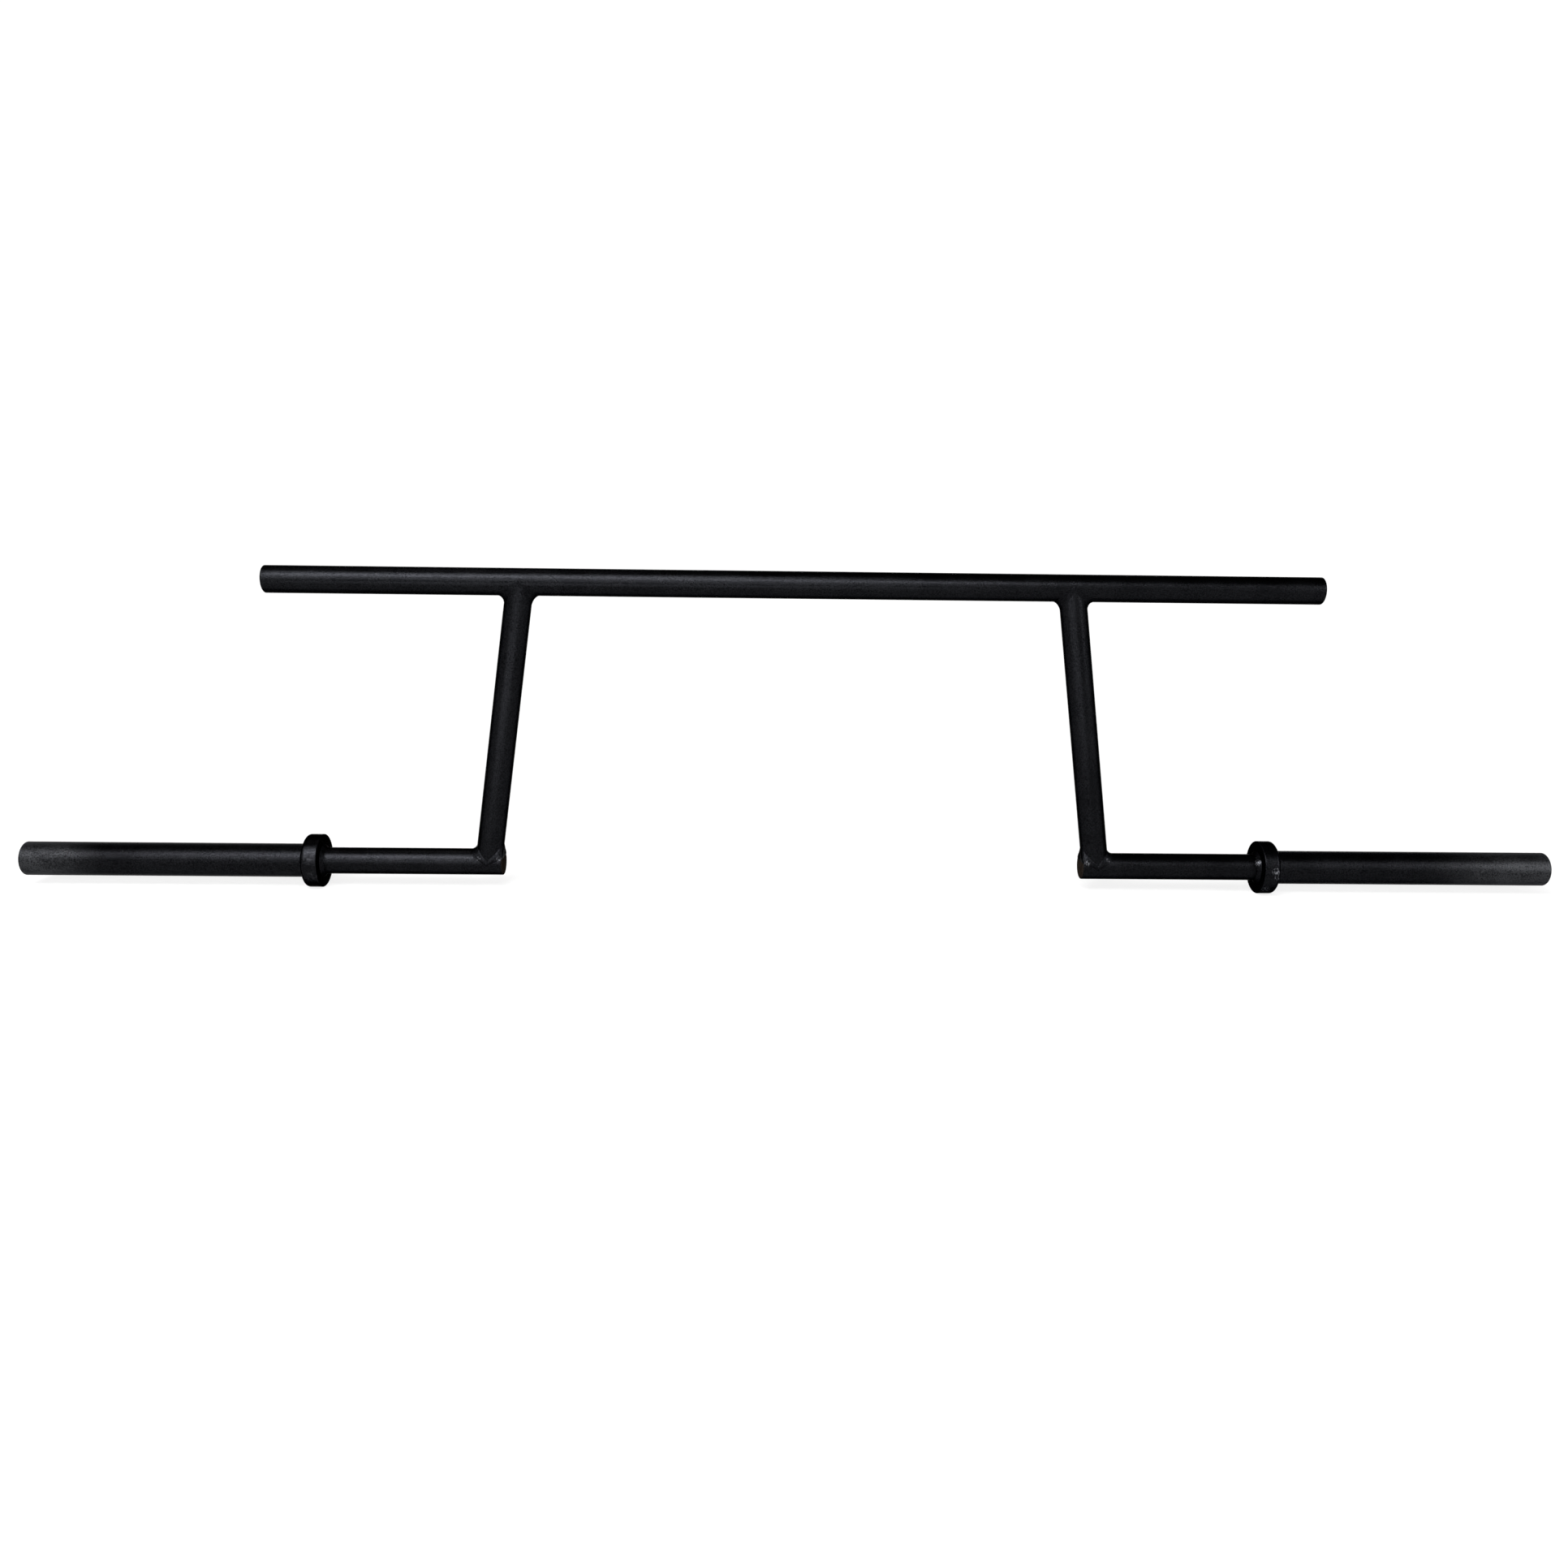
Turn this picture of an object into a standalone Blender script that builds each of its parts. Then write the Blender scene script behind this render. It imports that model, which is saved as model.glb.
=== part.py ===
"""Cambered bar: a straight top bar, two splayed struts, and two low arms with collars and plate sleeves.

The frame is upright. +X runs along the bar, +Z is up, and the origin is the middle of the top bar's axis.
Each side of the bar is built in its own half frame, with +X outward. The left half is turned half a turn.
"""
import math

import bmesh
import bpy
from mathutils import Vector

# Driving dimensions, in metres
OVERALL_LENGTH = 2.200
TOP_BAR_LENGTH = 1.470
DROP = 0.400                    # from the top bar's axis down to the arms' axis
STRUT_SPACING_TOP = 0.767       # between the strut axes, on the top bar's axis
STRUT_SPACING_FOOT = 0.880      # between the strut axes, on the arms' axis
COLLAR_SPACING = 1.352          # between the collars' inner faces
SHAFT_RADIUS = 0.01905          # top bar, struts and arms
TUBE_WALL = 0.00635
SLEEVE_RADIUS = 0.02413         # takes plates with a 50 mm hole
COLLAR_RADIUS = 0.0381
COLLAR_WIDTH = 0.023

# Edges, joints and welds
GAP = 0.0003                    # left between pieces that touch
RIM_ROUND = 0.0020              # rounded rims of shafts and sleeves
COLLAR_INNER_ROUND = 0.0015
COLLAR_OUTER_ROUND = 0.0050     # on the side that stops the plates
PLUG_DEPTH = 0.010
PLUG_CHAMFER = 0.0008
PLUG_RECESS = 0.0006
TIP_TRIM = 0.003                # the strut is sawn square this far short of the bars' axes, then coped
SEAT_DEPTH = 0.004              # the sleeve's end sits this deep in the collar
SEAT_BEVEL = 0.0042             # the seat widens this much to the collar's face, for the weld
END_BEVEL = 0.0030              # weld groove between arm and sleeve at the outer end
COLLAR_WELD_LEG = 0.0065
COLLAR_WELD_CROWN = -0.0004
SLEEVE_WELD_LEG = 0.0045
SLEEVE_WELD_CROWN = 0.0003
TOP_WELD_LEG = 0.0100
TOP_WELD_LEAN = 0.0015          # longer leg on the open side of the strut, shorter on the closed side
FOOT_WELD_LEG = 0.0065
FOOT_WELD_LEAN = -0.0005
TOP_WELD_HOLLOW = 0.55          # 0 is a flat weld face, 1 is a full concave fillet
FOOT_WELD_HOLLOW = 0.10
WELD_CROWN = 0.0015             # height of the weld where the two surfaces run into each other
WELD_CROWN_BLEND = 0.0020       # depth of a corner over which the crown fades
WELD_EDGE = 0.0006              # height of the weld's toes above the pieces they run out on
RIM_GAP_FACTOR = 3              # the gap grows this much where the weld's facets cut across a rounded rim

SIDES = 40                      # facets round a shaft
ROUND_STEPS = 3                 # facets across a rounded rim
WELD_STATIONS = 48              # sections round a strut weld
WELD_TURN = math.radians(18)    # most that the bar's surface turns between two sections
WELD_FACE_STEPS = 4             # facets across a weld's face
WELD_UNDER_STEPS = 5            # facets of a strut weld's underside on the bar
SHARP_ANGLE = math.radians(35)
CUTTER_REACH = 0.100            # how far a cutter runs past the joint it cuts

# Worked out from the driving dimensions
HALF_LENGTH = OVERALL_LENGTH / 2
STRUT_TOP = Vector((STRUT_SPACING_TOP / 2, 0, 0))
STRUT_FOOT = Vector((STRUT_SPACING_FOOT / 2, 0, -DROP))
STRUT_DOWN = (STRUT_FOOT - STRUT_TOP).normalized()
STRUT_SLOPE = (STRUT_FOOT.x - STRUT_TOP.x) / DROP
SPLAY = math.atan(STRUT_SLOPE)
STRUT_AXIS_AT_ARM_TOP = STRUT_TOP.x + STRUT_SLOPE * (DROP - SHAFT_RADIUS)
ARM_START = STRUT_AXIS_AT_ARM_TOP - SHAFT_RADIUS / math.cos(SPLAY)   # flush with the strut's inner side
COLLAR_START = COLLAR_SPACING / 2
COLLAR_END = COLLAR_START + COLLAR_WIDTH
SLEEVE_START = COLLAR_END - SEAT_DEPTH + GAP
BORE_RADIUS = SHAFT_RADIUS + GAP
SEAT_RADIUS = SLEEVE_RADIUS + GAP

# Colour, roughness and metallic value of the finish
BLACK_PAINT = ((0.018, 0.018, 0.020), 0.42, 0.0)
SLEEVE_PAINT = ((0.030, 0.030, 0.033), 0.46, 0.0)
COLLAR_PAINT = ((0.020, 0.020, 0.022), 0.40, 0.0)
WELD_PAINT = ((0.024, 0.023, 0.023), 0.34, 0.0)

for leftover in list(bpy.data.objects):
    bpy.data.objects.remove(leftover)

parts = bpy.data.collections.new("cambered_bar")
cutters = bpy.data.collections.new("cutters")
bpy.context.scene.collection.children.link(parts)
bpy.context.scene.collection.children.link(cutters)


def make_material(name, finish):
    colour, roughness, metallic = finish
    material = bpy.data.materials.new(name)
    material.use_nodes = True
    shader = material.node_tree.nodes["Principled BSDF"]
    shader.inputs["Base Color"].default_value = (*colour, 1)
    shader.inputs["Roughness"].default_value = roughness
    shader.inputs["Metallic"].default_value = metallic
    return material


def add_piece(name, mesh, finish, parent):
    piece = bpy.data.objects.new(name, mesh)
    piece.data.materials.append(make_material(name + "_paint", finish))
    piece.parent = parent
    parts.objects.link(piece)
    return piece


def rim_arc(x, radius, fillet, inward):
    """Points across a rounded rim at x, on a turned piece. inward is the X direction into the piece."""
    points = []
    for step in range(ROUND_STEPS + 1):
        angle = math.pi / 2 * step / ROUND_STEPS
        along = x + inward * fillet * (1 - math.sin(angle))
        points.append((along, radius - fillet * (1 - math.cos(angle))))
    return points


def turned_mesh(name, outline, closed):
    """Outline of (x, radius) points, from the +X end to the -X end along the outer side."""
    mesh = bpy.data.meshes.new(name)
    count = len(outline)
    edges = [(i, i + 1) for i in range(count - 1)]
    if closed:
        edges.append((count - 1, 0))
    mesh.from_pydata([(radius, 0, x) for x, radius in outline], edges, [])
    return mesh


def turn(piece):
    """Spins the piece's outline once round its own Z axis."""
    screw = piece.modifiers.new("turn", "SCREW")
    screw.axis = "Z"
    screw.steps = SIDES
    screw.render_steps = SIDES
    screw.use_merge_vertices = True
    screw.merge_threshold = 0.00001
    screw.use_smooth_shade = True


def add_turned(name, outline, finish, parent, axis_height, closed):
    """A piece turned about a line along X at axis_height."""
    piece = add_piece(name, turned_mesh(name, outline, closed), finish, parent)
    piece.location.z = axis_height
    piece.rotation_euler.y = math.pi / 2
    turn(piece)
    return piece


def add_cutter(name, start, parent):
    """A cylinder along X from start, that stands a gap proud of the bar it stands for."""
    radius = SHAFT_RADIUS + GAP
    outline = [(2 * CUTTER_REACH, 0), (2 * CUTTER_REACH, radius), (0, radius), (0, 0)]
    cutter = bpy.data.objects.new(name, turned_mesh(name, outline, closed=False))
    cutter.location = start
    cutter.rotation_euler.y = math.pi / 2
    cutter.parent = parent
    turn(cutter)
    cutter.display_type = "WIRE"
    cutter.hide_render = True
    cutters.objects.link(cutter)
    return cutter


def cut(piece, cutter):
    boolean = piece.modifiers.new("cut_" + cutter.name, "BOOLEAN")
    boolean.operation = "DIFFERENCE"
    boolean.solver = "EXACT"
    boolean.object = cutter
    return boolean


def add_top_bar():
    """Tube along X with rounded rims."""
    half = TOP_BAR_LENGTH / 2
    bore = SHAFT_RADIUS - TUBE_WALL
    outline = [(half, bore)]
    outline += rim_arc(half, SHAFT_RADIUS, RIM_ROUND, -1)[::-1]
    outline += rim_arc(-half, SHAFT_RADIUS, RIM_ROUND, 1)
    outline += [(-half, bore)]
    return add_turned("top_bar", outline, BLACK_PAINT, None, 0, closed=True)


def add_plug(side, half):
    """Disc pressed into the top bar's end, a little below the rim."""
    face = TOP_BAR_LENGTH / 2 - PLUG_RECESS
    radius = SHAFT_RADIUS - TUBE_WALL - GAP
    outline = [(face, 0), (face, radius - PLUG_CHAMFER), (face - PLUG_CHAMFER, radius)]
    outline += [(face - PLUG_DEPTH, radius), (face - PLUG_DEPTH, 0)]
    return add_turned("top_bar_" + side + "_plug", outline, BLACK_PAINT, half, 0, closed=False)


def add_strut(side, half, neighbours):
    """Tube along the strut's axis, sawn square, then coped by the top bar and by the arm."""
    bore = SHAFT_RADIUS - TUBE_WALL
    high = (STRUT_FOOT - STRUT_TOP).length - TIP_TRIM
    low = TIP_TRIM
    outline = [(high, bore), (high, SHAFT_RADIUS), (low, SHAFT_RADIUS), (low, bore)]
    strut = add_piece(side + "_strut", turned_mesh(side + "_strut", outline, closed=True), BLACK_PAINT, half)
    strut.location = STRUT_TOP
    strut.rotation_euler = STRUT_DOWN.to_track_quat("Z", "Y").to_euler()
    turn(strut)
    for neighbour in neighbours:
        cut(strut, neighbour)
    return strut


def add_arm(side, half):
    """Solid bar from the strut's foot to the sleeve's outer end, bevelled there for the end weld."""
    start, end = ARM_START, HALF_LENGTH
    outline = [(end, 0), (end, SHAFT_RADIUS - END_BEVEL), (end - END_BEVEL, SHAFT_RADIUS)]
    outline += rim_arc(start, SHAFT_RADIUS, RIM_ROUND, 1)
    outline += [(start, 0)]
    return add_turned(side + "_arm", outline, BLACK_PAINT, half, -DROP, closed=False)


def add_collar(side, half):
    """Ring with rounded corners, and a bevelled seat in its outer face for the sleeve's end."""
    start, end = COLLAR_START, COLLAR_END
    seat = end - SEAT_DEPTH
    outline = [(seat, BORE_RADIUS), (seat, SEAT_RADIUS), (end, SEAT_RADIUS + SEAT_BEVEL)]
    outline += rim_arc(end, COLLAR_RADIUS, COLLAR_OUTER_ROUND, -1)[::-1]
    outline += rim_arc(start, COLLAR_RADIUS, COLLAR_INNER_ROUND, 1)
    outline += [(start, BORE_RADIUS)]
    return add_turned(side + "_collar", outline, COLLAR_PAINT, half, -DROP, closed=True)


def add_sleeve(side, half):
    """Pipe over the arm, seated in the collar."""
    start, end = SLEEVE_START, HALF_LENGTH
    outline = [(end, BORE_RADIUS)]
    outline += rim_arc(end, SLEEVE_RADIUS, RIM_ROUND, -1)[::-1]
    outline += [(start, SLEEVE_RADIUS), (start, BORE_RADIUS)]
    return add_turned(side + "_sleeve", outline, SLEEVE_PAINT, half, -DROP, closed=True)


def weld_face(start, end, crown):
    """Points of a ring weld's face between its toes, from +X to -X. A crown below 0 makes it concave."""
    start, end = Vector(start), Vector(end)
    chord = end - start
    normal = Vector((chord.y, -chord.x)).normalized()
    points = []
    for step in range(1, WELD_FACE_STEPS):
        share = step / WELD_FACE_STEPS
        points.append(tuple(start + chord * share + normal * crown * 4 * share * (1 - share)))
    return points


def add_collar_weld(side, half):
    """Fillet between the arm and the collar's inner face."""
    wall = COLLAR_START - GAP
    floor = SHAFT_RADIUS + GAP
    high = (wall, floor + COLLAR_WELD_LEG)
    low = (wall - COLLAR_WELD_LEG, floor)
    outline = [(wall, floor), high] + weld_face(high, low, COLLAR_WELD_CROWN) + [low]
    return add_turned(side + "_collar_weld", outline, WELD_PAINT, half, -DROP, closed=True)


def add_sleeve_root_weld(side, half):
    """Fills the collar's bevelled seat and rises to the sleeve."""
    floor = SLEEVE_RADIUS + GAP
    seat_low = (COLLAR_END - SEAT_DEPTH + 2 * GAP, floor)
    seat_high = (COLLAR_END, SEAT_RADIUS + SEAT_BEVEL - 2 * GAP)
    toe = (COLLAR_END + SLEEVE_WELD_LEG, floor)
    outline = [toe] + weld_face(toe, seat_high, SLEEVE_WELD_CROWN) + [seat_high, seat_low]
    return add_turned(side + "_sleeve_root_weld", outline, WELD_PAINT, half, -DROP, closed=True)


def add_sleeve_end_weld(side, half):
    """Fills the bevelled groove between the arm's end and the sleeve's bore, ground flush."""
    face = HALF_LENGTH - PLUG_RECESS
    rim = BORE_RADIUS - GAP
    leg = END_BEVEL - PLUG_RECESS - GAP * math.sqrt(2)
    outline = [(face, rim - leg), (face, rim), (face - leg, rim)]
    return add_turned(side + "_sleeve_end_weld", outline, WELD_PAINT, half, -DROP, closed=True)


class TubeJoint:
    """Where a strut meets a bar that runs along X. The saddle is the line where the strut ends on the bar."""

    def __init__(self, centre, into_strut, bar_end=None):
        self.centre = centre
        self.into_strut = into_strut
        self.side = 1 if into_strut.z > 0 else -1      # the strut stands on the bar, or hangs under it
        self.outward = Vector((abs(into_strut.z), 0, -self.side * into_strut.x))
        self.bar_end = bar_end

    def radial(self, angle):
        """Direction from the strut's axis to its surface. At angle 0 it points along the bar, outward."""
        return math.cos(angle) * self.outward + math.sin(angle) * Vector((0, 1, 0))

    def saddle(self, angle, height=0):
        """Point of the saddle, or of the line that lies at a height above both the strut and the bar."""
        radius = SHAFT_RADIUS + height
        radial = self.radial(angle)
        reach = radius * (self.side * abs(math.cos(angle)) - radial.z) / self.into_strut.z
        return self.centre + radius * radial + max(reach, TIP_TRIM) * self.into_strut

    def around(self, corner):
        """Angle round the bar of a point of the saddle, from the strut's side of the bar."""
        return math.atan2(corner.y, self.side * (corner.z - self.centre.z))

    def bar_normal(self, around):
        return Vector((0, math.sin(around), self.side * math.cos(around)))

    def on_bar(self, x, around, radius):
        return Vector((x, 0, self.centre.z)) + radius * self.bar_normal(around)

    def above_strut(self, point):
        """Height of a point above the strut's surface, and the direction away from that surface."""
        offset = point - self.centre
        offset = offset - offset.dot(self.into_strut) * self.into_strut
        return offset.length - SHAFT_RADIUS, offset.normalized()

    def above_bar(self, point):
        """Height of a point above the bar's surface, rounded rim or end face, and the direction away."""
        radial = point - self.centre
        radial.x = 0
        over = radial.length - SHAFT_RADIUS + RIM_ROUND
        past = 0 if self.bar_end is None else self.bar_end + RIM_ROUND - point.x
        away = max(0, over) * radial.normalized() - Vector((max(0, past), 0, 0))
        return away.length - RIM_ROUND, away.normalized()


def smooth_step(low, high, value):
    share = max(0, min(1, (value - low) / (high - low)))
    return share * share * (3 - 2 * share)


def bar_side_of_weld(joint, angle, corner, leg):
    """Toe of the weld on the bar, the surface's normal there, and the corner that the weld's face clears.

    Where the bar ends before the toe, the weld rolls over the rim and runs on down the end face.
    """
    turned = joint.around(corner) + leg * math.sin(angle) / SHAFT_RADIUS
    toe_x = corner.x + leg * math.cos(angle)
    normal = joint.bar_normal(turned)
    if joint.bar_end is None or toe_x > joint.bar_end + RIM_ROUND:
        return joint.on_bar(toe_x, turned, SHAFT_RADIUS), normal, corner
    past = joint.bar_end + RIM_ROUND - toe_x
    roll = min(past / RIM_ROUND, math.pi / 2)
    normal = math.cos(roll) * normal + math.sin(roll) * Vector((-1, 0, 0))
    core = joint.on_bar(joint.bar_end + RIM_ROUND, turned, SHAFT_RADIUS - RIM_ROUND - past + roll * RIM_ROUND)
    rim = joint.on_bar(joint.bar_end, joint.around(corner), SHAFT_RADIUS)
    return core + RIM_ROUND * normal, normal, corner.lerp(rim, smooth_step(0, leg / 2, past))


def lifted(point, height_and_direction, height):
    """Moves a point out to a height above a surface, if it is lower."""
    now, away = height_and_direction
    return point + max(0, height - now) * away


def weld_section(joint, angle, leg, hollow):
    """Section of a strut weld: its face from the strut to the bar, and its underside back to the strut."""
    corner = joint.saddle(angle)
    radial = joint.radial(angle)
    strut_toe = corner + leg * joint.into_strut
    bar_toe, bar_normal, corner = bar_side_of_weld(joint, angle, corner, leg)
    out = (radial + bar_normal).normalized()
    middle = (strut_toe + bar_toe) / 2
    level = smooth_step(-WELD_CROWN_BLEND, 0, (corner - middle).dot(out))
    crest = middle.lerp(corner, hollow + (1 - hollow) * level) + 2 * WELD_CROWN * level * out
    start = strut_toe + WELD_EDGE * radial
    end = bar_toe + WELD_EDGE * bar_normal
    section = []
    for step in range(WELD_FACE_STEPS + 1):
        share = step / WELD_FACE_STEPS
        height = WELD_EDGE * (1 + math.sin(math.pi * share))
        point = (1 - share) ** 2 * start + 2 * share * (1 - share) * crest + share ** 2 * end
        point = lifted(point, joint.above_strut(point), height)
        section.append(lifted(point, joint.above_bar(point), height))
    root = joint.saddle(angle, GAP)
    for step in range(WELD_UNDER_STEPS):
        point = bar_toe.lerp(root, step / WELD_UNDER_STEPS)
        height, away = joint.above_bar(point)
        over_rim = math.sin(2 * math.acos(min(1, -away.x)))      # 0 on the side and end face, 1 half way
        gap = GAP * (1 + (RIM_GAP_FACTOR - 1) * over_rim)
        section.append(point + (gap - height) * away)
    section.append(root)
    section.append(strut_toe + GAP * radial)
    return section


def leg_at(angle, leg, lean):
    return leg - lean * math.cos(angle)


def weld_angles(joint, leg, lean):
    """Angles of a weld's sections, closer together where the bar's surface turns quickly under the toe."""
    def toe_normal(angle):
        return bar_side_of_weld(joint, angle, joint.saddle(angle), leg_at(angle, leg, lean))[1]

    spacing = 2 * math.pi / WELD_STATIONS
    angles = []
    for station in range(WELD_STATIONS):
        angle = station * spacing
        turned = toe_normal(angle).angle(toe_normal(angle + spacing))
        pieces = max(1, math.ceil(turned / WELD_TURN))
        angles += [angle + spacing * piece / pieces for piece in range(pieces)]
    return angles


def add_strut_weld(name, half, joint, leg, lean, hollow):
    """Ring of sections round the saddle."""
    bm = bmesh.new()
    rings = []
    for angle in weld_angles(joint, leg, lean):
        section = weld_section(joint, angle, leg_at(angle, leg, lean), hollow)
        rings.append([bm.verts.new(point) for point in section])
    for this, following in zip(rings, rings[1:] + rings[:1]):
        for i in range(len(this)):
            j = (i + 1) % len(this)
            bm.faces.new((this[i], this[j], following[j], following[i]))
    bmesh.ops.triangulate(bm, faces=bm.faces)      # the faces between two sections are not flat
    if bm.calc_volume(signed=True) < 0:
        bmesh.ops.reverse_faces(bm, faces=bm.faces)
    mesh = bpy.data.meshes.new(name)
    bm.to_mesh(mesh)
    bm.free()
    return add_piece(name, mesh, WELD_PAINT, half)


def add_half(side, quarter_turns):
    """One side of the bar, with +X outward in its own frame."""
    half = bpy.data.objects.new(side + "_half", None)
    half.rotation_euler.z = quarter_turns * math.pi / 2
    parts.objects.link(half)
    reach = Vector((CUTTER_REACH, 0, 0))
    top_bar = add_cutter(side + "_top_bar_cutter", STRUT_TOP - reach, half)
    arm_line = add_cutter(side + "_arm_line_cutter", STRUT_FOOT - reach, half)

    add_plug(side, half)
    add_strut(side, half, (top_bar, arm_line))
    add_arm(side, half)
    add_collar(side, half)
    add_sleeve(side, half)
    add_collar_weld(side, half)
    add_sleeve_root_weld(side, half)
    add_sleeve_end_weld(side, half)
    top = TubeJoint(STRUT_TOP, STRUT_DOWN)
    foot = TubeJoint(STRUT_FOOT, -STRUT_DOWN, bar_end=ARM_START)
    add_strut_weld(side + "_strut_top_weld", half, top, TOP_WELD_LEG, TOP_WELD_LEAN, TOP_WELD_HOLLOW)
    add_strut_weld(side + "_strut_foot_weld", half, foot, FOOT_WELD_LEG, FOOT_WELD_LEAN, FOOT_WELD_HOLLOW)


def shade_parts():
    """Applies each piece's modifiers, then shades it smooth between its real edges."""
    depsgraph = bpy.context.evaluated_depsgraph_get()
    finished = {}
    for piece in parts.objects:
        if piece.type == "MESH":
            finished[piece] = bpy.data.meshes.new_from_object(piece.evaluated_get(depsgraph))
    for piece, mesh in finished.items():
        piece.modifiers.clear()
        piece.data = mesh
        mesh.name = piece.name
        mesh.shade_smooth()
        mesh.set_sharp_from_angle(angle=SHARP_ANGLE)


add_top_bar()
add_half("right", 0)
add_half("left", 2)
shade_parts()
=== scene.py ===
"""Looks of the cambered bar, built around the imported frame.

Every solid of the frame is replaced by a finer piece of the same form, in satin black paint over steel.
Both halves of the bar are worked out as the right half, with +X outward. The left half is then turned half
a turn about the vertical axis.
"""
import math

import bmesh
import bpy
from mathutils import Matrix, Vector, noise


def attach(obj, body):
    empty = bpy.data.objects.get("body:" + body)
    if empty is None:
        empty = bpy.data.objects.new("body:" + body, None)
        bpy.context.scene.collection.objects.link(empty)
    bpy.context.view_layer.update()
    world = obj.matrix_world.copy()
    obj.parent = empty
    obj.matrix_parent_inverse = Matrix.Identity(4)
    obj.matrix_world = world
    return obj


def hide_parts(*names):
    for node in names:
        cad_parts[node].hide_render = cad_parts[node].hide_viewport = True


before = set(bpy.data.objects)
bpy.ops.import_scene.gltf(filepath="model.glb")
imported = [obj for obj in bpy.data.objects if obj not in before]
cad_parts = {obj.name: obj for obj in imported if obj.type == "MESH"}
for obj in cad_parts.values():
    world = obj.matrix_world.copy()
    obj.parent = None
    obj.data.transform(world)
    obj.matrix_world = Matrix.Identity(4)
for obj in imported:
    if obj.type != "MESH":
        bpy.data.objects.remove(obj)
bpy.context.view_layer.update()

# Dimensions of the frame, in metres
TOP_BAR_LENGTH = 1.470
OVERALL_LENGTH = 2.200
DROP = 0.400
STRUT_SPACING_TOP = 0.767
STRUT_SPACING_FOOT = 0.880
COLLAR_SPACING = 1.352
SHAFT_RADIUS = 0.01905
TUBE_WALL = 0.00635
SLEEVE_RADIUS = 0.02413
COLLAR_RADIUS = 0.0381
COLLAR_WIDTH = 0.023
RIM_ROUND = 0.0020
COLLAR_INNER_ROUND = 0.0015
COLLAR_OUTER_ROUND = 0.0050
SEAT_DEPTH = 0.004
SEAT_BEVEL = 0.0042
END_BEVEL = 0.0030
PLUG_THICKNESS = 0.010
PLUG_RECESS = 0.0006
GAP = 0.0003                # between solids of the frame that touch in the real bar
PLAY = 0.0001               # between the finer pieces, where one touches or is inside another

# Details of the turned and sawn ends, in metres
PLUG_ROUND = 0.0008
PLUG_BORDER = 0.0014        # distance from a plug's side to a ring of points on its face
CENTRE_MARK = ((0.0005, 0), (0.0004, 0.0016), (0, 0.0022))      # depth and radius, from the middle outward
STRUT_SINK = 0.0003         # how far a strut's ends are cut below the surface of the bars
ARM_FACE_RING = 0.6         # radius of a ring of points on the arm's inner end, as a share of the arm's
SAWN_SHARE = 0.35           # share of the rounded rim, along X, that looks sawn as the arm's inner end does

# Fineness of the meshes
SIDES = 144
ROUND_STEPS = 8
TOP_BAR_STEPS = 60
STRUT_STEPS = 20
ARM_STEPS = 40
COLLAR_STEPS = 6
SLEEVE_STEPS = 30
WELD_STATIONS = 288
WELD_FACE_STEPS = 14
MERGE_DISTANCE = 0.000001

# An edge is shaded sharp where its two faces turn by more than this
SHARP = math.radians(40)
SHARP_ON_BEADS = math.radians(80)
SHARP_ON_FILLETS = math.radians(60)

# Worked out from the dimensions
STRUT_TOP = Vector((STRUT_SPACING_TOP / 2, 0, 0))
STRUT_FOOT = Vector((STRUT_SPACING_FOOT / 2, 0, -DROP))
STRUT_DOWN = (STRUT_FOOT - STRUT_TOP).normalized()
STRUT_SLOPE = (STRUT_FOOT.x - STRUT_TOP.x) / DROP
SPLAY = math.atan(STRUT_SLOPE)
ARM_START = STRUT_TOP.x + STRUT_SLOPE * (DROP - SHAFT_RADIUS) - SHAFT_RADIUS / math.cos(SPLAY)
HALF_LENGTH = OVERALL_LENGTH / 2
COLLAR_START = COLLAR_SPACING / 2
COLLAR_END = COLLAR_START + COLLAR_WIDTH
TUBE_BORE = SHAFT_RADIUS - TUBE_WALL
FLOOR_Z = -DROP - COLLAR_RADIUS


def link(thing):
    bpy.context.scene.collection.objects.link(thing)
    return thing


def smooth_step(low, high, value):
    share = max(0, min(1, (value - low) / (high - low)))
    return share * share * (3 - 2 * share)


def between(pair, share):
    return pair[0] + (pair[1] - pair[0]) * share


# Meshes

def loft_mesh(rings, closed_section=True):
    """Closed ring of sections. Each section is a list of points, closed too unless it ends on the axis."""
    bm = bmesh.new()
    grid = [[bm.verts.new(point) for point in ring] for ring in rings]
    count = len(grid[0])
    last = count if closed_section else count - 1
    for this, following in zip(grid, grid[1:] + grid[:1]):
        for i in range(last):
            j = (i + 1) % count
            bm.faces.new((this[i], this[j], following[j], following[i]))
    bmesh.ops.remove_doubles(bm, verts=bm.verts, dist=MERGE_DISTANCE)
    if bm.calc_volume(signed=True) < 0:
        bmesh.ops.reverse_faces(bm, faces=bm.faces)
    mesh = bpy.data.meshes.new("loft")
    bm.to_mesh(mesh)
    bm.free()
    return mesh


def add_piece(name, mesh, side, materials, replaced, sharp=SHARP):
    """Piece that stands for one node of the frame. A mesh of the left side is turned to its place here."""
    if side == "left":
        mesh.transform(Matrix.Rotation(math.pi, 4, "Z"))
    mesh.name = name
    mesh.shade_smooth()
    mesh.set_sharp_from_angle(angle=sharp)
    piece = link(bpy.data.objects.new(name, mesh))
    for material in materials:
        mesh.materials.append(material)
    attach(piece, "root")
    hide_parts(replaced)


def rim_arc(x, radius, fillet, inward):
    """Rounded rim, from the side to the end face at x. inward is the X direction into the piece."""
    points = []
    for step in range(ROUND_STEPS + 1):
        angle = math.pi / 2 * step / ROUND_STEPS
        along = x + inward * fillet * (1 - math.sin(angle))
        points.append((along, radius - fillet * (1 - math.cos(angle))))
    return points


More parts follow.
